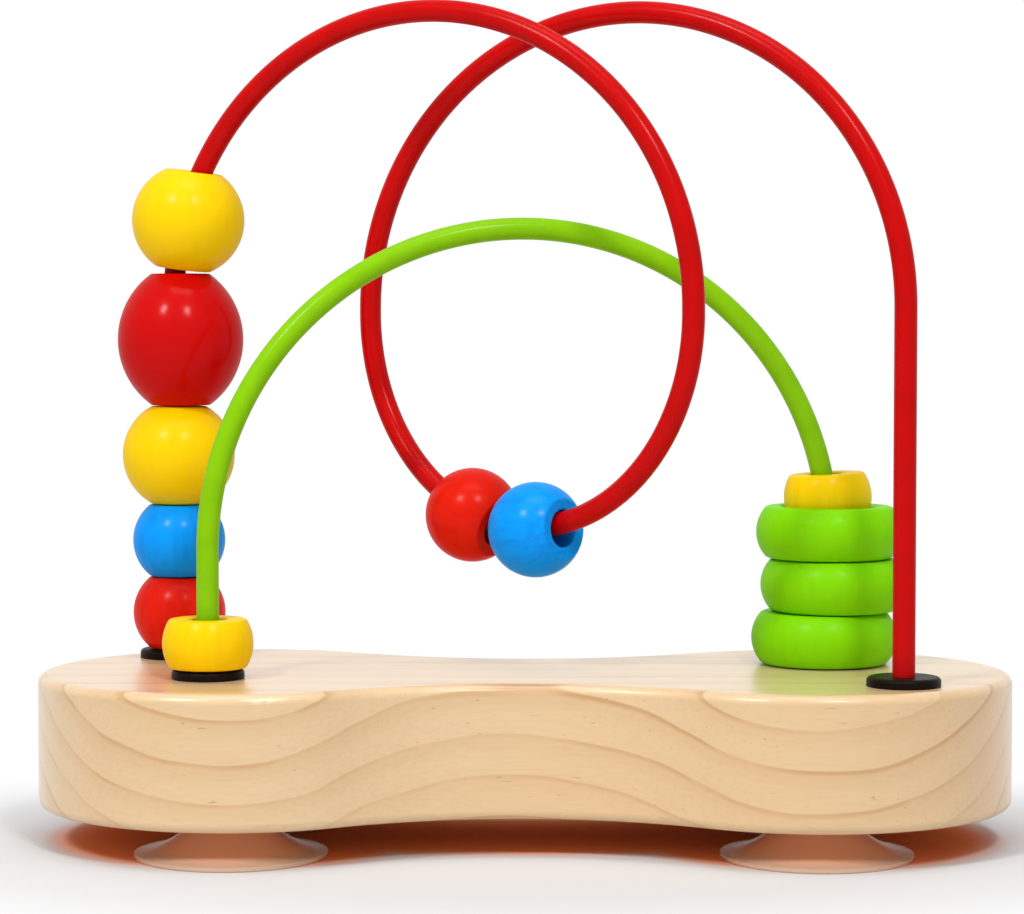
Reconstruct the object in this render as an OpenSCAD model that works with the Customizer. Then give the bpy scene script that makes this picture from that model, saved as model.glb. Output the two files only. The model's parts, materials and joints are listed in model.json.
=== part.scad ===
// Bead maze: a waisted wooden base on suction cups, two bent steel wires in coloured plastic sleeves,
// and loose turned beads and rings that travel along the wires.
// Millimetres. Origin on the table under the middle of the base, X to the right, Y to the back, Z up.

/* [Base board] */
// Length of the board over both lobes
board_length = 210; // [196:1:230]
// Radius of each round lobe
lobe_r = 43.5; // [42:0.5:48]
// Width of the board across its waist
waist_width = 50; // [40:1:64]
// Thickness of the board
board_t = 28.5; // [27:0.5:34]
// Rounding of the board's edges
board_edge_r = 2; // [0.5:0.5:4]

/* [Wires] */
// Outside diameter of a sleeved wire
wire_d = 4.8; // [4.4:0.1:5.2]
// Diameter of the steel core
core_d = 3.4; // [2.4:0.1:3.8]
// Depth of a sleeved wire end in the board
socket_depth = 18; // [14:1:20]
// Length of bare core below the sleeve
core_tip = 4; // [2:0.5:6]
// Red wire legs, left and right of the middle
red_leg_x = 79; // [76:0.5:82]
// Red wire legs, behind and in front of the middle
red_leg_y = 26; // [22:0.5:28]
// Sides of the red wire's hanging loop, right and left of the middle
loop_side_x = 35; // [32:0.5:38]
// Sides of the red wire's hanging loop, in front of and behind the middle
loop_side_y = 30; // [28:0.5:33]
// Height of the red wire's straight legs above the board
red_straight = 78.4; // [77.4:0.5:84.4]
// Length of the straight pieces between the arches and the hanging loop
loop_drop = 1; // [0.8:0.1:3]
// Green wire legs, left and right of the middle
green_leg_x = 67; // [64:0.5:70]
// Green wire legs, in front of and behind the middle
green_leg_y = 14.4; // [12:0.2:17]
// Height of the green wire's straight legs above the board
green_straight = 27; // [26:0.5:30]

/* [Bushes] */
// Diameter of a bush's flange
flange_d = 15.5; // [14:0.5:16]
// Thickness of the flange
flange_t = 2; // [1.5:0.1:2.6]
// Rounding of the flange's upper edge
flange_edge_r = 0.9; // [0.4:0.1:1.2]
// Diameter of the spigot in the board
spigot_d = 8; // [7:0.5:9]
// Length of the spigot
spigot_length = 9; // [6:1:12]

/* [Beads] */
// Bore of the small and flat beads
bead_bore_d = 8; // [7.8:0.1:8.4]
// Bore of the medium and large beads, wider to pass the bends
wide_bore_d = 9.6; // [9.4:0.1:9.8]
// Rounding of a bore's mouth
mouth_r = 0.5; // [0.2:0.1:0.6]
// Rounding of the edge round an end face
face_edge_r = 0.8; // [0.3:0.1:1]
// Diameter of the small round beads
small_d = 20.6; // [19.6:0.2:21]
// Length of the small round beads
small_length = 16; // [15.4:0.2:16.6]
// Diameter of the medium round beads
medium_d = 25; // [24:0.2:25.4]
// Length of the medium round beads
medium_length = 21.8; // [21.2:0.2:23]
// Diameter of the large egg-shaped bead
large_d = 28; // [27:0.2:29]
// Length of the large egg-shaped bead
large_length = 29.4; // [28:0.2:30]
// Diameter of the large bead's end faces
large_face_d = 13; // [12:0.2:14]
// Diameter of the flat beads
flat_d = 19.3; // [18.9:0.1:19.8]
// Length of the flat beads
flat_length = 10.4; // [9.8:0.2:11]
// How far the pair on the hanging loop has rolled to the back, in degrees
pair_roll = 7.5; // [0:0.5:12]

/* [Rings] */
// Outside diameter of a ring
ring_d = 32; // [30:0.5:34]
// Height of a ring
ring_height = 11.4; // [11:0.1:11.8]
// Bore of a ring, wider than a bush's flange
ring_bore_d = 19.6; // [19.4:0.1:19.8]
// Diameter of a ring's flat faces
ring_face_d = 27.4; // [26:0.2:29]
// Rounding of a ring's outer edges
ring_edge_r = 1.4; // [0.6:0.1:2]
// Rounding of a ring's bore edges
ring_mouth_r = 1.6; // [0.8:0.1:2]
// How far the stacked rings stand out of line
ring_shift = 1; // [0:0.1:1.2]

/* [Suction cups] */
// Diameter of a cup's lip
cup_d = 40.6; // [36:0.2:42]
// Height of the board above the table
cup_height = 8; // [7:0.5:9]
// Diameter of a cup where it meets the board
cup_neck_d = 15; // [12:0.5:18]
// Thickness of the lip
cup_lip_t = 0.9; // [0.6:0.1:1.4]
// Width of the lip's flat sealing edge
cup_seal_w = 1.2; // [0.8:0.1:2]
// Radius of the bell's hollow flank
cup_flank_r = 19; // [17:0.5:24]
// Depth of the cup's hollow
cup_hollow = 2.2; // [1.6:0.1:2.6]
// Diameter of the push-in stem
stem_d = 7; // [6:0.5:8]
// Length of the push-in stem
stem_length = 10; // [8:0.5:12]
// Rounding of the stem's tip
stem_tip_r = 1.4; // [0.6:0.2:2]
// Cup centres in front of and behind the middle
cup_y = 21.5; // [21:0.5:22.5]

/* [Hidden] */
$fn = 64;
// Steps of the wide arcs in the cups' thin bells
bell_steps = 360;

// Gap between stacked pieces
stack_gap = 0.25;
// Least gap between a bore and the wire that carries its bead
hang_gap = 0.35;
// Running gap of a core in its sleeve, and of a sleeve in its bush
sleeve_gap = 0.05;
// How far cuts run past the faces that they open
overrun = 1;
// How far the waist's hollow sides cut below a true tangent, so that they meet the lobes cleanly
waist_lap = 0.03;
// How far the easing of an end face's edge stands out from a true tangent, to meet the bulge cleanly
ease_lap = 0.02;
// How far the bends of the red wire reach into the straight pieces between them
bend_lap = 0.3;
// How far those straight pieces stand proud of the bends, all round
bend_step = 0.06;
// Spare room in the top bead's bore, where the wire runs through it at a slant
slant_gap = 0.32;
// Share of the wire's slope and sideways run that the flat bead on the rings takes up
flat_lean_share = 0.4;
// Gap between that bead's side and the edge of the ring's bore, with room for its tilt
flat_seat_gap = 0.7;

PINE = [0.93, 0.82, 0.64];
STEEL = [0.72, 0.73, 0.75];
RED = [0.82, 0.02, 0.03];
ORANGE_RED = [0.89, 0.09, 0.04];
YELLOW = [1, 0.82, 0.02];
BLUE = [0.02, 0.53, 0.95];
LIME = [0.53, 0.8, 0.02];
BLACK = [0.07, 0.05, 0.05];
CLEAR = [0.9, 0.84, 0.76, 0.6];

board_top = cup_height + board_t;
lobe_x = board_length / 2 - lobe_r;
lobe_step = lobe_r - waist_width / 2;
waist_y = (lobe_x * lobe_x - lobe_step * lobe_step) / (2 * lobe_step);
waist_r = waist_y - waist_width / 2 + waist_lap;
// The bridge ends where the lobes meet the hollow sides, halfway down their rounded edges
meet_share = (lobe_r - board_edge_r / 2) / norm([lobe_x, waist_y]);
bridge_x = lobe_x * (1 - meet_share);
bridge_y = waist_y * meet_share + overrun;

sleeve_bore_d = core_d + 2 * sleeve_gap;
bush_bore_d = wire_d + 2 * sleeve_gap;

red_left = [-red_leg_x, red_leg_y];
red_right = -red_left;
loop_front = [loop_side_x, -loop_side_y];
loop_back = -loop_front;
green_left = [-green_leg_x, -green_leg_y];
green_right = -green_left;
red_spring_z = board_top + red_straight;
loop_spring_z = red_spring_z - loop_drop;
green_spring_z = board_top + green_straight;
left_arch_middle = (red_left + loop_front) / 2;
arch_r = norm(loop_front - red_left) / 2;
arch_turn = atan2(loop_front.y - red_left.y, loop_front.x - red_left.x);
loop_r = norm(loop_front);
loop_turn = atan2(loop_front.y, loop_front.x);
green_r = norm(green_right);
green_turn = atan2(green_right.y, green_right.x);

// Sideways place of an upward arc of radius r, and its slope, at height z above its springing
function arc_in(r, z) = z <= 0 ? 0 : r - sqrt(r * r - z * z);
function arc_slope(r, z) = z <= 0 ? 0 : asin(z / r);
// Centre of the circle of radius r through a and b, to the right of the way from a to b
function arc_centre(a, b, r) = let (way = b - a, half = norm(way) / 2, side = [way.y, -way.x] / norm(way))
    (a + b) / 2 + side * sqrt(r * r - half * half);

// Centre of the arc that bulges from a turned piece's end faces to its widest point, from its axis
function bulge_x(d, length, face_d) = (d * d - face_d * face_d - length * length) / 4 / (d - face_d);

// The small, medium and flat beads are balls cut off at both ends; this is the diameter of the cuts. A bead too long
// for that keeps the least face that its bore's edges leave, and turns egg-shaped as the large one is.
function least_face(bore) = bore + 2 * (mouth_r + face_edge_r);
function ball_face(d, length, bore) = sqrt(max(pow(least_face(bore), 2), d * d - length * length));
small_face_d = ball_face(small_d, small_length, bead_bore_d);
medium_face_d = ball_face(medium_d, medium_length, wide_bore_d);
flat_face_d = ball_face(flat_d, flat_length, bead_bore_d);

// Red column, from its foot up
lean = (bead_bore_d - wire_d) / 2 - hang_gap;
foot_red_z = board_top + flange_t + stack_gap + small_length / 2;
blue_z = foot_red_z + small_length + stack_gap;
yellow_z = blue_z + small_length / 2 + stack_gap + medium_length / 2;
large_z = yellow_z + medium_length / 2 + stack_gap + large_length / 2;
large_top_z = large_z + large_length / 2;
large_lean = arc_in(arch_r, red_spring_z - large_z + large_length / 2) / 2;
top_slope = arc_slope(arch_r, large_top_z + medium_length / 2 - red_spring_z);
// The bore's room holds the wire's sag and, with what is left, its slant
top_room = (wide_bore_d - wire_d) / 2 - hang_gap - slant_gap;
top_sag = arc_in(arch_r, medium_length / 2);
top_slant = 2 * (sqrt(2 * top_room * top_sag) - top_sag);
top_tilt = top_slope - atan(top_slant / (medium_length / 2));
top_z = large_top_z + stack_gap + cos(top_tilt) * medium_length / 2 + sin(top_tilt) * medium_face_d / 2;
top_in = arc_in(arch_r, top_z - red_spring_z)
    + (top_sag + top_slant - top_slant * top_slant / (4 * top_sag)) / 2;

// Pair on the hanging loop, angles from the loop's lowest point towards the front
pair_hang = (bead_bore_d - wire_d) / 2 - hang_gap - arc_in(loop_r, small_length / 2 - mouth_r);
pair_r = loop_r + pair_hang;
pair_half_angle = atan((small_length + stack_gap) / 2 / (pair_r - small_face_d / 2));
loop_red_angle = -pair_roll - pair_half_angle;
loop_blue_angle = -pair_roll + pair_half_angle;

// Green wire's flat beads and rings
left_flat_z = board_top + flange_t + stack_gap + flat_length / 2;
ring_pitch = ring_height + stack_gap;
first_ring_z = board_top + stack_gap + ring_height / 2;
ring_stack_z = first_ring_z + 2 * ring_pitch + ring_height / 2;
// The flat bead's bulging side rests on the rounded edge of the upper ring's bore
flat_seat_x = ring_bore_d / 2 + ring_mouth_r - bulge_x(flat_d, flat_length, flat_face_d);
flat_seat_r = flat_d / 2 - bulge_x(flat_d, flat_length, flat_face_d) + ring_mouth_r + flat_seat_gap;
right_flat_z = ring_stack_z - ring_mouth_r + sqrt(flat_seat_r * flat_seat_r - flat_seat_x * flat_seat_x);
right_flat_tilt = flat_lean_share * arc_slope(green_r, right_flat_z - green_spring_z);
right_flat_in = flat_lean_share * arc_in(green_r, right_flat_z - green_spring_z);

// Cuts the outer corner of a profile at p back to the radius r; turn 0 is the upper right corner
module corner_cut(p, r, turn) {
    translate(p) rotate(turn) difference() {
        translate([-r, -r]) square(r + overrun);
        translate([-r, -r]) circle(r);
    }
}

// Board

module lobe_profile() {
    difference() {
        square([lobe_r, board_t]);
        corner_cut([lobe_r, board_t], board_edge_r, 0);
        corner_cut([lobe_r, 0], board_edge_r, -90);
    }
}

// Takes out one hollow side of the waist, with the edges rounded outwards
module waist_cutter() {
    rotate_extrude() {
        translate([0, -overrun]) square([waist_r, board_t + 2 * overrun]);
        for (side = [0, 1])
            translate([0, side * board_t]) mirror([0, side]) difference() {
                translate([waist_r - overrun, -overrun]) square(board_edge_r + overrun);
                translate([waist_r + board_edge_r, board_edge_r]) circle(board_edge_r);
            }
    }
}

module board_blank() {
    for (side = [-1, 1]) translate([side * lobe_x, 0, 0]) rotate_extrude() lobe_profile();
    difference() {
        translate([-bridge_x, -bridge_y, 0]) cube([2 * bridge_x, 2 * bridge_y, board_t]);
        for (side = [-1, 1]) translate([0, side * waist_y, 0]) waist_cutter();
    }
}

module wire_socket() {
    translate([0, 0, board_top - spigot_length]) cylinder(d = spigot_d, h = spigot_length + overrun);
    translate([0, 0, board_top - socket_depth]) cylinder(d = wire_d, h = socket_depth);
    translate([0, 0, board_top - socket_depth - core_tip]) cylinder(d = core_d, h = socket_depth);
}

module base_board() {
    color(PINE) difference() {
        translate([0, 0, cup_height]) board_blank();
        for (leg = [red_left, red_right, green_left, green_right]) translate(leg) wire_socket();
        for (x = [-lobe_x, lobe_x], y = [-cup_y, cup_y])
            translate([x, y, cup_height - overrun]) cylinder(d = stem_d, h = stem_length + overrun);
    }
}

// Wires

module wire_section(d, bore) {
    difference() {
        circle(d = d);
        if (bore > 0) circle(d = bore);
    }
}

module wire_arc(r, d, bore) {
    rotate([90, 0, 0]) rotate_extrude(angle = 180) translate([r, 0]) wire_section(d, bore);
}

module wire_leg(foot_z, top_z, d, bore) {
    translate([0, 0, foot_z]) linear_extrude(top_z - foot_z) wire_section(d, bore);
}

module left_arch_frame() {
    translate(left_arch_middle) rotate(arch_turn) children();
}

module red_wire(foot_z, d, bore) {
    for (side = [0, 180]) rotate(side) left_arch_frame() {
        translate([0, 0, red_spring_z]) wire_arc(arch_r, d, bore);
        translate([-arch_r, 0, 0]) wire_leg(foot_z, red_spring_z, d, bore);
        translate([arch_r, 0, 0]) wire_leg(loop_spring_z - bend_lap, red_spring_z + bend_lap,
            d + 2 * bend_step, bore - 2 * bend_step);
    }
    rotate(loop_turn) translate([0, 0, loop_spring_z]) mirror([0, 0, 1]) wire_arc(loop_r, d, bore);
}

module green_wire(foot_z, d, bore) {
    rotate(green_turn) {
        translate([0, 0, green_spring_z]) wire_arc(green_r, d, bore);
        for (side = [-green_r, green_r]) translate([side, 0, 0]) wire_leg(foot_z, green_spring_z, d, bore);
    }
}

module red_wire_core() { color(STEEL) red_wire(board_top - socket_depth - core_tip, core_d, 0); }
module red_wire_sleeve() { color(RED) red_wire(board_top - socket_depth, wire_d, sleeve_bore_d); }
module green_wire_core() { color(STEEL) green_wire(board_top - socket_depth - core_tip, core_d, 0); }
module green_wire_sleeve() { color(LIME) green_wire(board_top - socket_depth, wire_d, sleeve_bore_d); }

module bush(leg) {
    color(BLACK) translate([leg.x, leg.y, board_top]) rotate_extrude() difference() {
        union() {
            difference() {
                square([flange_d / 2, flange_t]);
                corner_cut([flange_d / 2, flange_t], flange_edge_r, 0);
            }
            translate([0, -spigot_length]) square([spigot_d / 2, spigot_length]);
        }
        translate([0, -spigot_length - overrun])
            square([bush_bore_d / 2, spigot_length + flange_t + 2 * overrun]);
    }
}

module rear_left_bush() { bush(red_left); }
module front_right_bush() { bush(red_right); }
module front_left_bush() { bush(green_left); }
module rear_right_bush() { bush(green_right); }

// Turned beads and rings, along Z about their middle

// Half of the profile: an arc through the widest point and both end faces, with eased edges
module turned_profile(d, length, face_d, bore, edge_r, bore_edge_r) {
    arc_x = bulge_x(d, length, face_d);
    arc_r = d / 2 - arc_x;
    ease_z = length / 2 - edge_r;
    ease_x = arc_x + sqrt(pow(arc_r - edge_r, 2) - ease_z * ease_z);
    ease_way = atan2(ease_z, ease_x - arc_x);
    ease_out = [cos(ease_way), sin(ease_way)] * (edge_r + overrun);
    difference() {
        intersection() {
            translate([arc_x, 0]) circle(arc_r);
            translate([bore / 2, -length / 2]) square([d / 2, length]);
        }
        for (side = [0, 1]) mirror([0, side]) {
            translate([bore / 2, length / 2]) mirror([1, 0]) corner_cut([0, 0], bore_edge_r, 0);
            translate([ease_x + ease_lap, ease_z]) difference() {
                polygon([[0, 0], ease_out, [0, edge_r + overrun]]);
                circle(edge_r);
            }
        }
    }
}

module bead(d, length, face_d, bore) {
    rotate_extrude() turned_profile(d, length, face_d, bore, face_edge_r, mouth_r);
}

module small_bead() { bead(small_d, small_length, small_face_d, bead_bore_d); }
module medium_bead() { bead(medium_d, medium_length, medium_face_d, wide_bore_d); }
module large_bead() { bead(large_d, large_length, large_face_d, wide_bore_d); }
module flat_bead() { bead(flat_d, flat_length, flat_face_d, bead_bore_d); }

// Places a bead upright on the red column at height z, moved in towards the arch
module on_column(z, in) {
    spot = red_left + in * [cos(arch_turn), sin(arch_turn)];
    translate([spot.x, spot.y, z]) children();
}

// Places a bead on the hanging loop, at an angle from its lowest point
module on_loop(angle) {
    rotate(loop_turn) translate([0, 0, loop_spring_z]) rotate([0, -angle, 0])
        translate([0, 0, -pair_r]) rotate([0, 90, 0]) children();
}

module column_foot_red_bead() { color(ORANGE_RED) on_column(foot_red_z, lean) small_bead(); }
module column_blue_bead() { color(BLUE) on_column(blue_z, lean) small_bead(); }
module column_yellow_bead() { color(YELLOW) on_column(yellow_z, lean) medium_bead(); }
module column_large_red_bead() { color(RED) on_column(large_z, large_lean) large_bead(); }
// The top bead leans with the arch
module column_top_yellow_bead() {
    color(YELLOW) left_arch_frame() translate([top_in - arch_r, 0, top_z])
        rotate([0, top_tilt, 0]) medium_bead();
}
module loop_red_bead() { color(ORANGE_RED) on_loop(loop_red_angle) small_bead(); }
module loop_blue_bead() { color(BLUE) on_loop(loop_blue_angle) small_bead(); }
module left_flat_yellow_bead() {
    color(YELLOW) translate([green_left.x, green_left.y, left_flat_z]) flat_bead();
}
module right_flat_yellow_bead() {
    color(YELLOW) rotate(green_turn) translate([green_r - right_flat_in, 0, right_flat_z])
        rotate([0, -right_flat_tilt, 0]) flat_bead();
}

// Rings

module ring(step, shift) {
    color(LIME) translate([green_right.x + shift, green_right.y, first_ring_z + step * ring_pitch])
        rotate_extrude()
            turned_profile(ring_d, ring_height, ring_face_d, ring_bore_d, ring_edge_r, ring_mouth_r);
}

module lower_green_ring() { ring(0, -ring_shift); }
module middle_green_ring() { ring(1, ring_shift); }
module upper_green_ring() { ring(2, 0); }

// Suction cups

module cup_profile() {
    lip_edge = [cup_d / 2, cup_lip_t];
    neck_edge = [cup_neck_d / 2, cup_height];
    hollow_edge = cup_d / 2 - cup_lip_t / 2 - cup_seal_w;
    hollow_r = (hollow_edge * hollow_edge + cup_hollow * cup_hollow) / (2 * cup_hollow);
    difference() {
        square([cup_d / 2, cup_height]);
        translate(arc_centre(lip_edge, neck_edge, cup_flank_r)) circle(cup_flank_r, $fn = bell_steps);
        translate([0, cup_hollow - hollow_r]) circle(hollow_r, $fn = bell_steps);
    }
    translate([0, cup_height]) difference() {
        square([stem_d / 2, stem_length]);
        corner_cut([stem_d / 2, stem_length], stem_tip_r, 0);
    }
}

module suction_cup(x, y) {
    color(CLEAR) translate([x, y, 0]) rotate_extrude() cup_profile();
}

module front_left_suction_cup() { suction_cup(-lobe_x, -cup_y); }
module front_right_suction_cup() { suction_cup(lobe_x, -cup_y); }
module rear_left_suction_cup() { suction_cup(-lobe_x, cup_y); }
module rear_right_suction_cup() { suction_cup(lobe_x, cup_y); }

base_board();
red_wire_core();
red_wire_sleeve();
green_wire_core();
green_wire_sleeve();
rear_left_bush();
front_right_bush();
front_left_bush();
rear_right_bush();
column_foot_red_bead();
column_blue_bead();
column_yellow_bead();
column_large_red_bead();
column_top_yellow_bead();
loop_red_bead();
loop_blue_bead();
left_flat_yellow_bead();
right_flat_yellow_bead();
lower_green_ring();
middle_green_ring();
upper_green_ring();
front_left_suction_cup();
front_right_suction_cup();
rear_left_suction_cup();
rear_right_suction_cup();
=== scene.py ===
import bmesh
import bpy
import json
import math
import numpy as np
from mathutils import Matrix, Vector

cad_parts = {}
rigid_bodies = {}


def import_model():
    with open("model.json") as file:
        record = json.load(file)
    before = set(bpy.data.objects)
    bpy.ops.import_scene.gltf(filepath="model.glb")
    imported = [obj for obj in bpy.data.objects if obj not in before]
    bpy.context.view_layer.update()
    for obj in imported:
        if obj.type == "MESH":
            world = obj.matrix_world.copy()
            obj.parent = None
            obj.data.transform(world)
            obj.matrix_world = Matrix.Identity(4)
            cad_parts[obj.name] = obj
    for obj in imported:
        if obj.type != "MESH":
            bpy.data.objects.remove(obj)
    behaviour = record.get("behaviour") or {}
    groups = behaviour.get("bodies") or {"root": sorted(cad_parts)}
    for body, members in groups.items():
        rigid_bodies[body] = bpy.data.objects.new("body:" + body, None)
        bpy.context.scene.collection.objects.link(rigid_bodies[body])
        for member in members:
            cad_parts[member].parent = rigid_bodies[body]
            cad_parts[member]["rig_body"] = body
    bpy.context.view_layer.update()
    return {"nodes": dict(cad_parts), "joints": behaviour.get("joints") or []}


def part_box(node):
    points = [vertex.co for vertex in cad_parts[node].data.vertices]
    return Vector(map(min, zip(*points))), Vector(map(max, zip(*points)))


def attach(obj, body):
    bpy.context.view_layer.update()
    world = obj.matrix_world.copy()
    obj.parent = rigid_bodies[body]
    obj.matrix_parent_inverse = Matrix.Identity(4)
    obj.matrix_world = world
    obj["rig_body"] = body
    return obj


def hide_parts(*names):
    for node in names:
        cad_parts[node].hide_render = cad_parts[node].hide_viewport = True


for leftover in list(bpy.data.objects):  # a new file's own cube, lamp and camera
    bpy.data.objects.remove(leftover)
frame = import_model()
joints = {joint["name"]: joint for joint in frame["joints"]}
mm = 0.001


# Surfaces as whole arrays

def lineStretch(start, end):  # straight from start to end, with two points close to its ends to keep it flat
    share = np.array([0, 0.06, 0.94, 1])[:, None]
    return np.asarray(start) * (1 - share) + np.asarray(end) * share


def arcStretch(centre, radius, fromAngle, toAngle, steps):  # centre + radius * (cos a, sin a)
    angle = np.linspace(fromAngle, toAngle, steps + 1)
    return np.asarray(centre) + radius * np.stack([np.cos(angle), np.sin(angle)], axis=1)


def joinStretches(*stretches):  # end to end, each shared end point once
    points = np.concatenate(stretches)
    fresh = np.linalg.norm(np.diff(points, axis=0), axis=1) > 1e-8
    return points[np.concatenate([[True], fresh])]


def gridFaces(rows, columns, closed):  # quads between neighbours on a grid that runs round its columns
    row, column = np.meshgrid(np.arange(rows if closed else rows - 1), np.arange(columns), indexing="ij")
    nextRow = (row + 1) % rows
    nextColumn = (column + 1) % columns
    corners = [row * columns + column, row * columns + nextColumn,
               nextRow * columns + nextColumn, nextRow * columns + column]
    return np.stack(corners, axis=-1).reshape(-1, 4)


def outward(points, quads):  # turns the quads round if the volume they enclose comes out negative
    a, b, c, d = (points[quads[:, i]] for i in range(4))
    volume = np.einsum("ij,ij->", a, np.cross(b, c) + np.cross(c, d))
    return quads if volume > 0 else quads[:, ::-1]


def sideAxes(axis):  # two unit vectors square to the axis and to each other
    axis = np.asarray(axis, float)
    guide = np.array([0, 1, 0]) if abs(axis[1]) < 0.9 else np.array([1, 0, 0])
    side = np.cross(guide, axis)
    side = side / np.linalg.norm(side)
    return side, np.cross(axis, side)


def makePiece(name, points, quads, node, slot, ownPlace=None, sharpAngle=40):
    mesh = bpy.data.meshes.new(name)
    mesh.from_pydata(points.tolist(), [], outward(points, quads).tolist())
    if ownPlace is not None:  # each point's place on the unturned piece, for its grain
        attribute = mesh.attributes.new("latheCo", "FLOAT_VECTOR", "POINT")
        attribute.data.foreach_set("vector", ownPlace.astype(np.float32).ravel())
    tidy = bmesh.new()
    tidy.from_mesh(mesh)
    bmesh.ops.remove_doubles(tidy, verts=tidy.verts, dist=1e-7)  # closes the poles
    tidy.to_mesh(mesh)
    tidy.free()
    mesh.polygons.foreach_set("use_smooth", np.ones(len(mesh.polygons), bool))
    mesh.set_sharp_from_angle(angle=math.radians(sharpAngle))
    piece = bpy.data.objects.new(name, mesh)
    bpy.context.scene.collection.objects.link(piece)
    mesh.materials.append(finishes[slot])
    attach(piece, frame["nodes"][node]["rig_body"])
    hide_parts(node)
    return piece


woodStep = (0.031, 0.017, 0.043)  # from one piece's spot in the wood to the next's


def turnedPiece(name, outline, centre, axis, node, slot, around=112, closed=True):
    # an outline point (r, h) at angle a lies at centre + side * r cos a + front * r sin a + axis * h
    angle = np.linspace(0, 2 * np.pi, around, endpoint=False)
    side, front = sideAxes(axis)
    r = outline[:, :1]
    h = outline[:, 1:] + 0 * angle
    local = np.stack([r * np.cos(angle), r * np.sin(angle), h], axis=-1).reshape(-1, 3)
    points = np.asarray(centre) + local @ np.stack([side, front, np.asarray(axis, float)])
    quads = gridFaces(len(outline), around, closed)
    ownWood = len(bpy.data.objects) * np.array(woodStep)
    return makePiece(name, points, quads, node, slot, local + ownWood)


def middleOf(node):
    low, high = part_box(node)
    return np.array((low + high) / 2)


foldWay = np.array([0.31, 0.17, 0.93])  # off every axis; normals that point against it are turned round


def turnedFrame(node):  # centre, axis, widest and least radius and half length of a turned solid
    mesh = frame["nodes"][node].data
    normals = np.empty(len(mesh.polygons) * 3, np.float32)
    mesh.polygon_normals.foreach_get("vector", normals)
    normals = normals.reshape(-1, 3).astype(float)
    areas = np.empty(len(mesh.polygons), np.float32)
    mesh.polygons.foreach_get("area", areas)
    normals *= np.where(normals @ foldWay < 0, -1, 1)[:, None]
    member = np.unique(normals.round(3), axis=0, return_inverse=True)[1].ravel()
    flat = np.bincount(member, weights=areas).argmax()  # the end faces share the commonest direction
    axis = (normals * areas[:, None])[member == flat].sum(0)
    axis /= np.linalg.norm(axis)
    places = np.empty(len(mesh.vertices) * 3, np.float32)
    mesh.vertices.foreach_get("co", places)
    away = places.reshape(-1, 3) - middleOf(node)
    along = away @ axis
    radius = np.linalg.norm(away - along[:, None] * axis, axis=1)
    return middleOf(node), axis, radius.max(), radius.min(), along.max()


# Finishes

def addNode(tree, kind, **settings):
    node = tree.nodes.new("ShaderNode" + kind)
    for key, value in settings.items():
        setattr(node, key, value)
    return node


def feed(node, inputs):  # an output is linked to the socket, anything else is set on it
    for key, value in inputs.items():
        if isinstance(value, bpy.types.NodeSocket):
            node.id_data.links.new(value, node.inputs[key])
        else:
            node.inputs[key].default_value = value
    return node


def sums(tree, operation, first, second=0.5, third=0.5):
    node = addNode(tree, "Math", operation=operation)
    return feed(node, {0: first, 1: second, 2: third}).outputs[0]


def blendColour(tree, factor, first, second):  # the first colour at factor 0, the second at 1
    node = addNode(tree, "Mix", data_type="RGBA")
    return feed(node, {0: factor, 6: first, 7: second}).outputs[2]


def spread(tree, value, fromLow, fromHigh, toLow=0.0, toHigh=1.0):  # smooth step between two values
    node = addNode(tree, "MapRange", interpolation_type="SMOOTHSTEP")
    limits = {"From Min": fromLow, "From Max": fromHigh, "To Min": toLow, "To Max": toHigh}
    return feed(node, {"Value": value, **limits}).outputs["Result"]


def stretched(tree, vector, scale, place=(0, 0, 0)):  # vector * scale + place
    node = addNode(tree, "Mapping")
    return feed(node, {"Vector": vector, "Scale": scale, "Location": place}).outputs[0]


def noise(tree, vector, scale=1.0, detail=2.0, rough=0.5):
    node = addNode(tree, "TexNoise")
    return feed(node, {"Vector": vector, "Scale": scale, "Detail": detail, "Roughness": rough}).outputs["Fac"]


def newGroup(name, inputs, outputs):
    group = bpy.data.node_groups.new(name, "ShaderNodeTree")
    for label, kind in inputs.items():
        group.interface.new_socket(label, in_out="INPUT", socket_type="NodeSocket" + kind)
    for label, kind in outputs.items():
        group.interface.new_socket(label, in_out="OUTPUT", socket_type="NodeSocket" + kind)
    return group, group.nodes.new("NodeGroupInput"), group.nodes.new("NodeGroupOutput")


def paintGroup(grain):  # brushed gloss paint, thin enough for the turned wood's streaks to show
    group, given, made = newGroup(
        "paintOverWood",
        {"Vector": "Vector", "Paint": "Color", "Streak": "Color", "Depth": "Float"},
        {"Color": "Color", "Roughness": "Float", "Height": "Float"})
    along = stretched(group, given.outputs["Vector"], (1, 1, grain["along"]))
    streaks = noise(group, along, grain["streaks"], detail=3.0, rough=0.55)
    clouds = noise(group, given.outputs["Vector"], grain["clouds"])
    both = sums(group, "MULTIPLY", spread(group, streaks, 0.35, 0.8), spread(group, clouds, 0.2, 0.8))
    amount = sums(group, "MULTIPLY", both, given.outputs["Depth"])
    colour = blendColour(group, amount, given.outputs["Paint"], given.outputs["Streak"])
    skin = noise(group, given.outputs["Vector"], grain["skin"], detail=1.0)
    height = sums(group, "MULTIPLY_ADD", streaks, grain["streakHeight"], skin)
    feed(made, {"Color": colour, "Roughness": spread(group, clouds, 0.3, 0.7, 0.4, 0.52), "Height": height})
    return group


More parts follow.
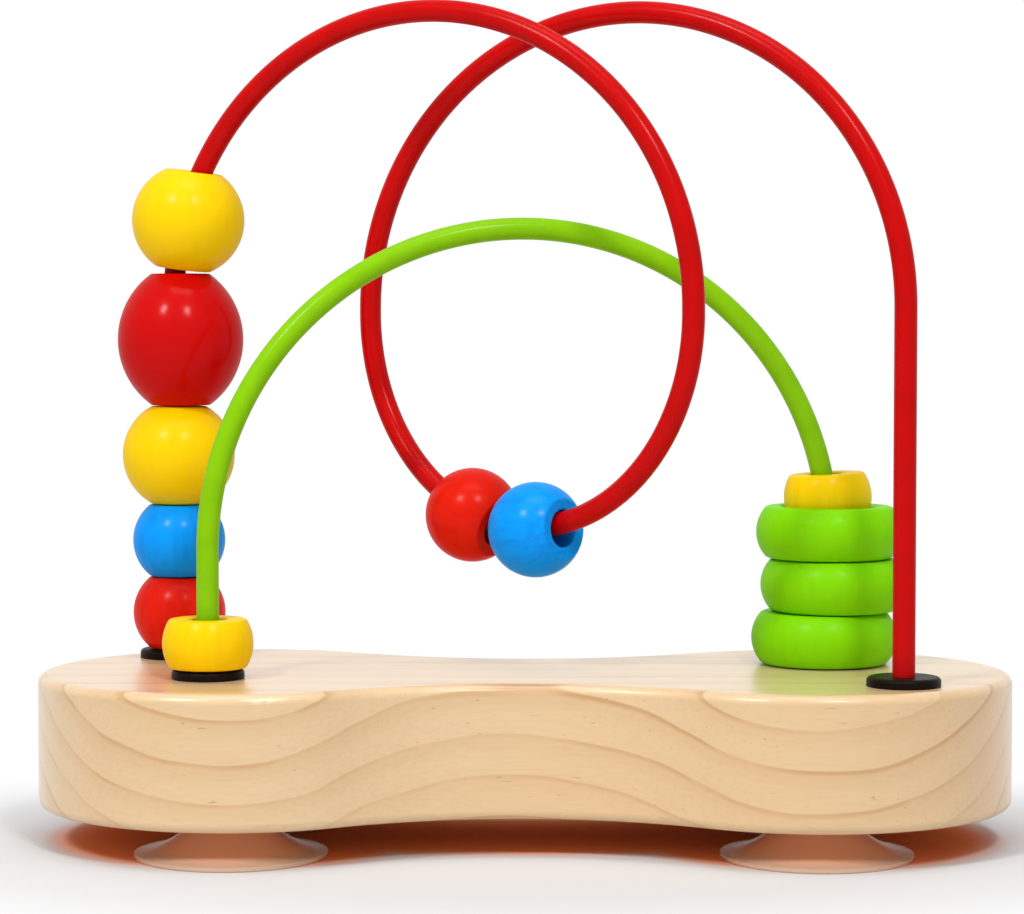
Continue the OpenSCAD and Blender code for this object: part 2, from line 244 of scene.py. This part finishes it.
def mouldedGroup(grain):  # skin of moulded or drawn plastic: faint clouds and a very fine orange peel
    group, given, made = newGroup(
        "plasticSkin",
        {"Vector": "Vector", "Colour": "Color", "Deep": "Color", "Low": "Float", "High": "Float"},
        {"Color": "Color", "Roughness": "Float", "Height": "Float"})
    clouds = noise(group, given.outputs["Vector"], grain["clouds"], detail=3.0)
    peel = noise(group, given.outputs["Vector"], grain["peel"], detail=1.0)
    cloudy = spread(group, clouds, 0.35, 0.75)
    colour = blendColour(group, cloudy, given.outputs["Colour"], given.outputs["Deep"])
    rough = feed(addNode(group, "MapRange"), {
        "Value": clouds, "To Min": given.outputs["Low"], "To Max": given.outputs["High"]}).outputs["Result"]
    feed(made, {"Color": colour, "Roughness": rough, "Height": peel})
    return group


def newFinish(name):
    material = bpy.data.materials.new(name + "Finish")
    material.use_nodes = True
    return material, material.node_tree, material.node_tree.nodes["Principled BSDF"]


def bumpFrom(tree, height, strength, distance):
    node = addNode(tree, "Bump")
    return feed(node, {"Height": height, "Strength": strength, "Distance": distance}).outputs["Normal"]


def placeGroup(tree, group, inputs):
    node = addNode(tree, "Group", node_tree=group)
    return feed(node, inputs).outputs


def paintFinish(name, look):
    material, tree, shader = newFinish(name)
    place = addNode(tree, "Attribute", attribute_name="latheCo").outputs["Vector"]
    paint = placeGroup(tree, paintOverWood, {
        "Vector": place, "Paint": (*look["paint"], 1), "Streak": (*look["streak"], 1),
        "Depth": look["depth"]})
    feed(shader, {
        "Base Color": paint["Color"], "Roughness": paint["Roughness"],
        "Normal": bumpFrom(tree, paint["Height"], look["bump"], paintGrain["deep"]),
        "Specular IOR Level": 0.02, "Coat Weight": look["coat"], "Coat Roughness": look["gloss"]})
    return material


def plasticFinish(name, look):
    material, tree, shader = newFinish(name)
    place = addNode(tree, "TexCoord").outputs["Object"]
    skin = placeGroup(tree, plasticSkin, {
        "Vector": place, "Colour": (*look["colour"], 1), "Deep": (*look["deep"], 1),
        "Low": look["rough"][0], "High": look["rough"][1]})
    feed(shader, {
        "Base Color": skin["Color"], "Roughness": skin["Roughness"],
        "Normal": bumpFrom(tree, skin["Height"], look["bump"], plasticGrain["deep"]),
        "Specular IOR Level": look["specular"], "Coat Weight": look["coat"], "Coat Roughness": 0.2})
    return material


def pineFinish(name, look):
    # yearly layers slope through the board: ring = (z - slope * y) / ringStep + wander + ripple. In each ring
    # the late wood darkens slowly and ends in a thin broken line.
    material, tree, shader = newFinish(name)
    place = addNode(tree, "TexCoord").outputs["Object"]
    axes = feed(addNode(tree, "SeparateXYZ"), {0: place}).outputs
    wander = noise(tree, stretched(tree, place, look["wanderGrain"]))
    ripple = noise(tree, stretched(tree, place, look["rippleGrain"]))
    layer = sums(tree, "MULTIPLY_ADD", axes["Y"], -look["slope"], axes["Z"])
    rings = sums(tree, "DIVIDE", layer, look["ringStep"])
    rings = sums(tree, "MULTIPLY_ADD", wander, look["wander"], rings)
    rings = sums(tree, "MULTIPLY_ADD", ripple, look["ripple"], rings)
    part = sums(tree, "FRACT", rings)
    year = addNode(tree, "TexWhiteNoise", noise_dimensions="1D")
    feed(year, {"W": sums(tree, "FLOOR", rings)})
    ringEnd = look["ringEnd"]
    fall = spread(tree, part, ringEnd, 1.0, 1.0, 0.0)
    slow = sums(tree, "MULTIPLY", spread(tree, part, look["lateFrom"], ringEnd, 0.0, look["slowShare"]), fall)
    edge = sums(tree, "MULTIPLY", spread(tree, part, look["edgeFrom"], ringEnd, 0.0, look["edgeShare"]), fall)
    breaks = noise(tree, stretched(tree, place, look["breakGrain"]))
    lateWood = sums(tree, "MULTIPLY_ADD", edge, spread(tree, breaks, 0.35, 0.65, 0.2, 1.0), slow)
    line = sums(tree, "MULTIPLY", lateWood, spread(tree, year.outputs["Value"], 0.0, 1.0, *look["years"]))
    fibres = noise(tree, stretched(tree, place, look["fibreGrain"]), detail=4.0, rough=0.6)
    specks = noise(tree, stretched(tree, place, look["speckGrain"]), detail=1.0)
    dashes = spread(tree, specks, 0.73, 0.80, 0.0, 0.5)
    clouds = noise(tree, stretched(tree, place, look["cloudGrain"]))
    ground = blendColour(tree, spread(tree, clouds, 0.3, 0.7), (*look["pale"], 1), (*look["warm"], 1))
    ground = blendColour(tree, spread(tree, fibres, 0.35, 0.75, 0.0, 0.3), ground, (*look["fibre"], 1))
    ringed = blendColour(tree, line, ground, (*look["late"], 1))
    colour = blendColour(tree, dashes, ringed, (*look["speck"], 1))
    feed(shader, {
        "Base Color": colour, "Roughness": spread(tree, fibres, 0.2, 0.8, *look["rough"]),
        "Normal": bumpFrom(tree, fibres, look["bump"], look["deep"]), "Specular IOR Level": 0.3,
        "Coat Weight": look["coat"], "Coat Roughness": look["gloss"]})
    return material


def cupFinish(name, look):  # tinted clear plastic, paler and clearer towards the thin lip: its amber tint is its own, and the deeper red brown above the lip is painted shade from the board's shadow
    material, tree, shader = newFinish(name)
    place = addNode(tree, "TexCoord").outputs["Object"]
    height = feed(addNode(tree, "SeparateXYZ"), {0: place}).outputs["Z"]
    # painted shade: the colour turns from the lip's tint to the darker neck colour with height
    paintedNeckShade = spread(tree, height, *look["heights"])
    colour = blendColour(tree, paintedNeckShade, (*look["lip"], 1), (*look["neck"], 1))
    feed(shader, {
        "Base Color": colour, "Roughness": look["rough"], "IOR": look["ior"],
        "Specular IOR Level": look["specular"],
        "Alpha": spread(tree, height, *look["heights"], *look["solid"])})
    return material


def steelFinish(name, look):
    material, tree, shader = newFinish(name)
    place = addNode(tree, "TexCoord").outputs["Object"]
    drawn = noise(tree, stretched(tree, place, look["grain"]), detail=3.0)
    colour = blendColour(tree, drawn, (*look["colour"], 1), (*look["deep"], 1))
    rough = spread(tree, drawn, 0.2, 0.8, *look["rough"])
    feed(shader, {"Base Color": colour, "Metallic": 1.0, "Roughness": rough})
    return material


paintGrain = dict(streaks=560.0, along=0.12, clouds=85.0, skin=210.0, streakHeight=0.3, deep=0.2 * mm)
plasticGrain = dict(clouds=140.0, peel=420.0, deep=0.05 * mm)
paintOverWood = paintGroup(paintGrain)
plasticSkin = mouldedGroup(plasticGrain)
paintLooks = {
    "orange_red_paint": dict(paint=(0.76, 0.011, 0.001), streak=(0.57, 0.004, 0.001), depth=0.8, bump=0.4,
                             coat=0.16, gloss=0.24),
    "red_paint": dict(paint=(0.60, 0.001, 0.001), streak=(0.52, 0.001, 0.001), depth=0.4, bump=0.04,
                      coat=0.16, gloss=0.18),
    "yellow_paint": dict(paint=(0.98, 0.65, 0.001), streak=(0.90, 0.50, 0.001), depth=0.6, bump=0.06,
                         coat=0.14, gloss=0.24),
    "blue_paint": dict(paint=(0.001, 0.33, 1.0), streak=(0.001, 0.18, 0.76), depth=0.8, bump=0.4,
                       coat=0.18, gloss=0.22),
    "lime_paint": dict(paint=(0.225, 0.71, 0.001), streak=(0.18, 0.60, 0.001), depth=0.5, bump=0.05,
                       coat=0.10, gloss=0.28),
}
plasticLooks = {
    "red_sleeve": dict(colour=(0.57, 0.001, 0.001), deep=(0.51, 0.001, 0.001), rough=(0.3, 0.4), bump=0.01,
                       specular=0.02, coat=0.14),
    "lime_sleeve": dict(colour=(0.25, 0.58, 0.001), deep=(0.22, 0.53, 0.001), rough=(0.3, 0.4), bump=0.01,
                        specular=0.02, coat=0.16),
    "black_bush": dict(colour=(0.006, 0.003, 0.002), deep=(0.010, 0.005, 0.004), rough=(0.35, 0.5), bump=0.1,
                       specular=0.06, coat=0.0),
}
pineLook = dict(pale=(0.81, 0.59, 0.34), warm=(0.78, 0.54, 0.295), fibre=(0.66, 0.44, 0.22),
                late=(0.55, 0.27, 0.085), speck=(0.40, 0.19, 0.07),
                slope=0.7, ringStep=8.5 * mm, wander=1.2, ripple=0.35,
                lateFrom=0.3, edgeFrom=0.82, ringEnd=0.95, slowShare=0.3, edgeShare=0.7, years=(0.4, 0.8),
                wanderGrain=(5, 16, 16), rippleGrain=(26, 60, 60), breakGrain=(22, 90, 90),
                fibreGrain=(60, 1400, 1400), speckGrain=(150, 1900, 1900), cloudGrain=(9, 24, 24),
                rough=(0.36, 0.46), bump=0.04, deep=0.1 * mm, coat=1.0, gloss=0.28)
# lip is the cup's own amber tint; neck deepens it to the red brown of painted shade from the board's shadow,
# reached above the second height
cupLook = dict(lip=(1.0, 0.74, 0.55), neck=(1.0, 0.48, 0.28), heights=(0.3 * mm, 2.6 * mm),
               solid=(0.5, 0.9), rough=0.3, ior=1.4, specular=0.25)
steelLook = dict(colour=(0.60, 0.61, 0.63), deep=(0.48, 0.49, 0.51), grain=(900, 900, 60), rough=(0.25, 0.4))
finishes = {name: paintFinish(name, look) for name, look in paintLooks.items()}
finishes.update({name: plasticFinish(name, look) for name, look in plasticLooks.items()})
finishes["pine"] = pineFinish("pine", pineLook)
finishes["clear_cup"] = cupFinish("clear_cup", cupLook)
finishes["steel"] = steelFinish("steel", steelLook)
print("finishes made:", len(finishes))


# Board and steel cores keep their solids

for node, slot in (("base_board", "pine"), ("red_wire_core", "steel"), ("green_wire_core", "steel")):
    solid = frame["nodes"][node]
    solid.data.materials.clear()
    solid.data.materials.append(finishes[slot])


# Wires

def wirePath(stretches):
    # each stretch lies in an upright plane through its centre: centre + way * a + up * z, where (a, z) is a
    # line or an arc. Gives the places, two directions square to the wire at each, and the sleeve's turn about
    # the wire, which makes up for the change of plane so that the skin doesn't twist. A stretch's last value
    # is 1 where the wire enters a new plane on its way down, -1 on its way up and 0 in the same plane.
    places, sides, outs, turns = [], [], [], []
    turn = 0.0
    lastWay = None
    for centre, way, plan, goes in stretches:
        angle = math.atan2(way[1], way[0])
        if lastWay is not None:
            turn += goes * (angle - lastWay)
        lastWay = angle
        flat = np.array([way[0], way[1], 0.0])
        places.append(np.asarray(centre) + plan[:, :1] * flat + plan[:, 1:] * np.array([0, 0, 1.0]))
        slope = np.gradient(plan, axis=0)
        slope /= np.linalg.norm(slope, axis=1)[:, None]
        sides.append(np.tile(np.array([-way[1], way[0], 0.0]), (len(plan), 1)))
        outs.append(-slope[:, 1:] * flat + slope[:, :1] * np.array([0, 0, 1.0]))
        turns.append(np.full(len(plan), turn))
    return [np.concatenate(part) for part in (places, sides, outs, turns)]


def wireSleeve(name, path, wire, node, slot):
    # a ring of radius r at each place of the path: place + r * (side cos a + out sin a), there with the outer
    # radius and back with the bore's
    places, sides, outs, turns = path
    angle = np.linspace(0, 2 * np.pi, wire["around"], endpoint=False)
    a = angle[None, :, None] + turns[:, None, None]
    spoke = sides[:, None, :] * np.cos(a) + outs[:, None, :] * np.sin(a)
    outer = places[:, None, :] + wire["radius"] * spoke
    inner = places[:, None, :] + wire["boreRadius"] * spoke
    points = np.concatenate([outer, inner[::-1]]).reshape(-1, 3)
    return makePiece(name, points, gridFaces(2 * len(places), wire["around"], True), node, slot)


wire = dict(around=32, arcSteps=150, legSteps=14, sleeveGap=0.05 * mm)
redArch = np.array(joints["column_large_lift"]["pos_m"])
hangingLoop = np.array(joints["loop_blue_travel"]["pos_m"])
greenArch = np.array(joints["upper_ring_lift"]["pos_m"])
redFoot = middleOf("rear_left_bush")[:2]
greenFoot = middleOf("front_left_bush")[:2]


def levelWay(start, end):
    way = np.asarray(end[:2]) - np.asarray(start[:2])
    return way / np.linalg.norm(way)


def legPlan(radius, fromHeight, toHeight):
    height = np.linspace(fromHeight, toHeight, wire["legSteps"])
    return np.stack([np.full_like(height, radius), height], axis=1)


def arcPlan(radius, fromAngle, toAngle):
    return arcStretch((0, 0), radius, fromAngle, toAngle, wire["arcSteps"])


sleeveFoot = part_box("red_wire_sleeve")[0].z
archWay = levelWay(redFoot, redArch)
archRadius = np.linalg.norm(redArch[:2] - redFoot)
loopStart = 2 * redArch[:2] - redFoot
loopWay = levelWay(hangingLoop, loopStart)
loopRadius = np.linalg.norm(loopStart - hangingLoop[:2])
drop = redArch[2] - hangingLoop[2]
farArch = np.array([-redArch[0], -redArch[1], redArch[2]])
redPath = wirePath([
    (redArch, archWay, legPlan(-archRadius, sleeveFoot - redArch[2], 0), 0),
    (redArch, archWay, arcPlan(archRadius, np.pi, 0)[1:], 0),
    (redArch, archWay, np.array([[archRadius, -drop / 3], [archRadius, -drop / 2]]), 0),  # straight drop
    (hangingLoop, loopWay, arcPlan(loopRadius, 0, -np.pi), 1),
    (farArch, archWay, np.array([[-archRadius, -drop / 2], [-archRadius, -drop / 3]]), -1),  # straight rise
    (farArch, archWay, arcPlan(archRadius, np.pi, 0), 0),
    (farArch, archWay, legPlan(archRadius, 0, sleeveFoot - farArch[2])[1:], 0),
])
greenWay = levelWay(greenFoot, greenArch)
greenRadius = np.linalg.norm(greenArch[:2] - greenFoot)
greenPath = wirePath([
    (greenArch, greenWay, legPlan(-greenRadius, sleeveFoot - greenArch[2], 0), 0),
    (greenArch, greenWay, arcPlan(greenRadius, np.pi, 0)[1:], 0),
    (greenArch, greenWay, legPlan(greenRadius, 0, sleeveFoot - greenArch[2])[1:], 0),
])
wire["radius"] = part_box("green_wire_sleeve")[1].z - greenArch[2] - greenRadius
wire["boreRadius"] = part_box("green_wire_core")[1].z - greenArch[2] - greenRadius + wire["sleeveGap"]
wireSleeve("redWireSleeve", redPath, wire, "red_wire_sleeve", "red_sleeve")
wireSleeve("greenWireSleeve", greenPath, wire, "green_wire_sleeve", "lime_sleeve")
print("wires made: radii", [round(wire[key] / mm, 3) for key in ("radius", "boreRadius")], "mm")


# Bushes

def bushOutline(bush, radius, bore, height):
    # up the bore, over the flange with its rounded edge, under it and down the spigot
    spigotFoot = bush["flange"] - height
    edge = bush["edge"]
    over = arcStretch((radius - edge, bush["flange"] - edge), edge, np.pi / 2, 0, steps=8)
    return joinStretches(
        lineStretch((bore, spigotFoot), (bore, bush["flange"])),
        lineStretch((bore, bush["flange"]), over[0]), over,
        lineStretch(over[-1], (radius, 0)),
        lineStretch((radius, 0), (bush["spigot"], 0)),
        lineStretch((bush["spigot"], 0), (bush["spigot"], spigotFoot)))


bush = dict(flange=2 * mm, edge=0.9 * mm, spigot=4 * mm)
for node in ("rear_left_bush", "front_right_bush", "front_left_bush", "rear_right_bush"):
    low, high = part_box(node)
    centre = middleOf(node)
    centre[2] = high.z - bush["flange"]
    outline = bushOutline(bush, (high.x - low.x) / 2, wire["radius"] + wire["sleeveGap"], high.z - low.z)
    first, second, _ = node.split("_")
    turnedPiece(first + second.title() + "Bush", outline, centre, (0, 0, 1), node, "black_bush", around=72)
print("bushes made")


# Beads and rings

def beadOutline(shape, radius, bore, half):
    # up the bore, round its mouth, over the end face, round its eased edge, down the bulge; then mirrored
    face = shape.get("face", math.sqrt(abs(radius ** 2 - half ** 2)))  # a ball's cuts follow from its length
    mouth = shape["mouth"]
    ease = shape["ease"]
    bulgeX = (radius ** 2 - face ** 2 - half ** 2) / 2 / (radius - face)
    bulge = radius - bulgeX
    easeZ = half - ease
    easeX = bulgeX + math.sqrt((bulge - ease) ** 2 - easeZ ** 2)
    way = math.atan2(easeZ, easeX - bulgeX)
    upper = joinStretches(
        lineStretch((bore, 0), (bore, half - mouth)),
        arcStretch((bore + mouth, half - mouth), mouth, np.pi, np.pi / 2, steps=8),
        lineStretch((bore + mouth, half), (easeX, half)),
        arcStretch((easeX, easeZ), ease, np.pi / 2, way, steps=8),
        arcStretch((bulgeX, 0), bulge, way, 0, steps=28))
    lower = upper[1:-1][::-1] * (1, -1)
    return np.concatenate([upper, lower])


smallBead = dict(ease=0.8 * mm, mouth=0.5 * mm)
mediumBead = dict(ease=0.8 * mm, mouth=0.5 * mm)
largeBead = dict(face=6.5 * mm, ease=0.8 * mm, mouth=0.5 * mm)
flatBead = dict(ease=0.8 * mm, mouth=0.5 * mm)
greenRing = dict(face=13.7 * mm, ease=1.4 * mm, mouth=1.6 * mm)
turnedPieces = [
    ("column_foot_red_bead", smallBead, "orange_red_paint"),
    ("column_blue_bead", smallBead, "blue_paint"),
    ("column_yellow_bead", mediumBead, "yellow_paint"),
    ("column_large_red_bead", largeBead, "red_paint"),
    ("column_top_yellow_bead", mediumBead, "yellow_paint"),
    ("loop_red_bead", smallBead, "orange_red_paint"),
    ("loop_blue_bead", smallBead, "blue_paint"),
    ("left_flat_yellow_bead", flatBead, "yellow_paint"),
    ("right_flat_yellow_bead", flatBead, "yellow_paint"),
    ("lower_green_ring", greenRing, "lime_paint"),
    ("middle_green_ring", greenRing, "lime_paint"),
    ("upper_green_ring", greenRing, "lime_paint"),
]
for node, shape, slot in turnedPieces:
    centre, axis, radius, bore, half = turnedFrame(node)
    words = node.split("_")
    name = words[0] + "".join(word.title() for word in words[1:])
    turnedPiece(name, beadOutline(shape, radius, bore, half), centre, axis, node, slot)
print("beads and rings made:", len(turnedPieces))


# Suction cups

def cupOutline(cup, radius, boardFoot, tip):
    # from the hollow's crown down to the seal, out over the lip, up the hollow flank to the neck and the stem
    lip = cup["lip"]
    soft = cup["lipEdge"]
    hollowEdge = radius - lip / 2 - cup["seal"]
    hollowR = (hollowEdge ** 2 + cup["hollow"] ** 2) / 2 / cup["hollow"]
    opening = math.asin(hollowEdge / hollowR)
    start = np.array([radius, lip])
    end = np.array([cup["neck"], boardFoot])
    way = end - start
    half = np.linalg.norm(way) / 2
    away = np.array([way[1], -way[0]]) / np.linalg.norm(way)
    middle = (start + end) / 2 + away * math.sqrt(cup["flank"] ** 2 - half ** 2)
    fromAngle = math.atan2(*(start - middle)[::-1]) % (2 * np.pi)
    toAngle = math.atan2(*(end - middle)[::-1]) % (2 * np.pi)
    stemEdge = cup["stemEdge"]
    flank = arcStretch(middle, cup["flank"], fromAngle, toAngle, steps=40)
    return joinStretches(
        arcStretch((0, cup["hollow"] - hollowR), hollowR, np.pi / 2, np.pi / 2 - opening, steps=40),
        lineStretch((hollowEdge, 0), (radius - soft, 0)),
        arcStretch((radius - soft, soft), soft, -np.pi / 2, 0, steps=6),
        lineStretch((radius, soft), start), flank,
        lineStretch(end, (cup["stem"], boardFoot)),
        lineStretch((cup["stem"], boardFoot), (cup["stem"], tip - stemEdge)),
        arcStretch((cup["stem"] - stemEdge, tip - stemEdge), stemEdge, 0, np.pi / 2, steps=6),
        lineStretch((cup["stem"] - stemEdge, tip), (0, tip)))


cup = dict(lip=0.9 * mm, lipEdge=0.3 * mm, seal=1.2 * mm, hollow=2.2 * mm, flank=19 * mm, neck=7.5 * mm,
           stem=3.5 * mm, stemEdge=1.4 * mm)
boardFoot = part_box("base_board")[0].z
for first, second in (("front", "left"), ("front", "right"), ("rear", "left"), ("rear", "right")):
    node = first + "_" + second + "_suction_cup"
    low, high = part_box(node)
    centre = middleOf(node)
    centre[2] = 0
    outline = cupOutline(cup, (high.x - low.x) / 2, boardFoot, high.z)
    turnedPiece(first + second.title() + "Cup", outline, centre, (0, 0, 1), node, "clear_cup", closed=False)
print("suction cups made")


# Stage, lights and camera

def whiteForSight(tree):  # 1 for rays that show the background, straight or through gloss and glass
    path = addNode(tree, "LightPath").outputs
    seen = sums(tree, "ADD", path["Is Camera Ray"], path["Is Glossy Ray"])
    seen = sums(tree, "ADD", seen, path["Is Transmission Ray"])
    return sums(tree, "MINIMUM", seen, 1.0)


def lengthOf(tree, vector):
    return feed(addNode(tree, "VectorMath", operation="LENGTH"), {0: vector}).outputs["Value"]


def makeFloor(stage):  # pale, with the board's shadow painted warm reddish brown under it, plain white further out
    size = stage["half"]
    low = -stage["gap"]
    corners = [(-size, -size, low), (size, -size, low), (size, size, low), (-size, size, low)]
    mesh = bpy.data.meshes.new("floor")
    mesh.from_pydata(corners, [], [(0, 1, 2, 3)])
    floor = bpy.data.objects.new("floor", mesh)
    bpy.context.scene.collection.objects.link(floor)
    material = bpy.data.materials.new("paleFloor")
    material.use_nodes = True
    tree = material.node_tree
    tree.nodes.clear()
    place = addNode(tree, "TexCoord").outputs["Object"]
    distance = lengthOf(tree, stretched(tree, place, stage["squeeze"]))
    far = sums(tree, "MULTIPLY", spread(tree, distance, stage["near"], stage["far"]), whiteForSight(tree))
    # painted shadow: a waisted patch under the board, set back a little, where the floor's colour turns to
    # the warm shadow colour
    behind = stretched(tree, place, (1, 1, 1), (0, -stage["shadowSetBack"], 0))
    eitherEnd = feed(addNode(tree, "VectorMath", operation="ABSOLUTE"), {0: behind}).outputs[0]
    lobe = lengthOf(tree, stretched(tree, eitherEnd, (1, 1, 1), (-stage["lobePlace"], 0, 0)))
    waist = lengthOf(tree, stretched(tree, eitherEnd, (stage["waistShare"], 1, 1)))
    inside = sums(tree, "MINIMUM", sums(tree, "SUBTRACT", lobe, stage["shadowLobeRadius"]),
                  sums(tree, "SUBTRACT", waist, stage["shadowWaistHalf"]))
    shade = spread(tree, inside, -stage["fade"], stage["fade"], 1.0, 0.0)
    colour = blendColour(tree, shade, stage["colour"], stage["warm"])
    lit = feed(addNode(tree, "BsdfDiffuse"), {"Color": colour}).outputs[0]
    glow = feed(addNode(tree, "Emission"), {"Strength": 1.0}).outputs[0]
    both = feed(addNode(tree, "MixShader"), {0: far, 1: lit, 2: glow}).outputs[0]
    feed(addNode(tree, "OutputMaterial"), {"Surface": both})
    mesh.materials.append(material)


def makeSky(stage):
    world = bpy.data.worlds.new("studio")
    bpy.context.scene.world = world
    world.use_nodes = True
    tree = world.node_tree
    tree.nodes.clear()
    ambient = feed(addNode(tree, "Background"), {"Strength": stage["ambient"]}).outputs[0]
    white = feed(addNode(tree, "Background"), {"Color": (1, 1, 1, 1), "Strength": 1.0}).outputs[0]
    both = feed(addNode(tree, "MixShader"), {0: whiteForSight(tree), 1: ambient, 2: white}).outputs[0]
    feed(addNode(tree, "OutputWorld"), {"Surface": both})


def softbox(name, lamp):
    light = bpy.data.lights.new(name, "AREA")
    light.shape = "RECTANGLE"
    light.size, light.size_y = lamp["size"]
    light.energy = lamp["power"]
    light.color = lamp["colour"]
    box = bpy.data.objects.new(name, light)
    bpy.context.scene.collection.objects.link(box)
    turn, rise = (math.radians(x) for x in lamp["direction"])  # from the front, to the right and up
    away = Vector((math.sin(turn) * math.cos(rise), -math.cos(turn) * math.cos(rise), math.sin(rise)))
    box.location = Vector(lamp["aim"]) + away * lamp["distance"]
    box.rotation_euler = away.to_track_quat("Z", "Y").to_euler()


# warm is the painted shadow colour under the board; lobePlace, shadowLobeRadius, waistShare, shadowWaistHalf,
# shadowSetBack and fade shape that painted shadow
stage = dict(half=6.0, gap=0.1 * mm, near=0.06, far=0.12, squeeze=(0.65, 1, 1), ambient=0.52,
             colour=(0.72, 0.72, 0.735, 1), warm=(1.0, 0.32, 0.13, 1), lobePlace=61.5 * mm,
             shadowLobeRadius=40 * mm, waistShare=0.24, shadowWaistHalf=22.5 * mm, shadowSetBack=3.5 * mm, fade=5 * mm)
leftBox = dict(size=(0.14, 0.18), power=4.6, colour=(1, 0.99, 0.97), direction=(-38, 41), distance=1.1,
               aim=(0, 0, 0.1))
rightBox = dict(size=(0.14, 0.18), power=4.0, colour=(1, 0.99, 0.97), direction=(18, 43), distance=1.1,
                aim=(0, 0, 0.1))
topBox = dict(size=(0.8, 0.5), power=5.0, colour=(1, 1, 1), direction=(0, 80), distance=1.4, aim=(0, 0, 0.1))
photoCamera = dict(lens=106.6, place=(6.06 * mm, -653.9 * mm, 113.4 * mm), pan=-0.0134, tilt=0.0467,
                   nearest=10 * mm)
makeFloor(stage)
makeSky(stage)
for name, lamp in (("leftSoftbox", leftBox), ("rightSoftbox", rightBox), ("topSoftbox", topBox)):
    softbox(name, lamp)
camera = bpy.data.objects.new("photoCamera", bpy.data.cameras.new("photoCamera"))
bpy.context.scene.collection.objects.link(camera)
camera.data.lens = photoCamera["lens"]
camera.data.clip_start = photoCamera["nearest"]
camera.location = photoCamera["place"]
pan, tilt = photoCamera["pan"], photoCamera["tilt"]
forward = Vector((math.sin(pan) * math.cos(tilt), math.cos(pan) * math.cos(tilt), -math.sin(tilt)))
camera.rotation_euler = forward.to_track_quat("-Z", "Y").to_euler()
bpy.context.scene.camera = camera
bpy.context.scene.view_settings.view_transform = "Standard"
print("stage, lights and camera set")
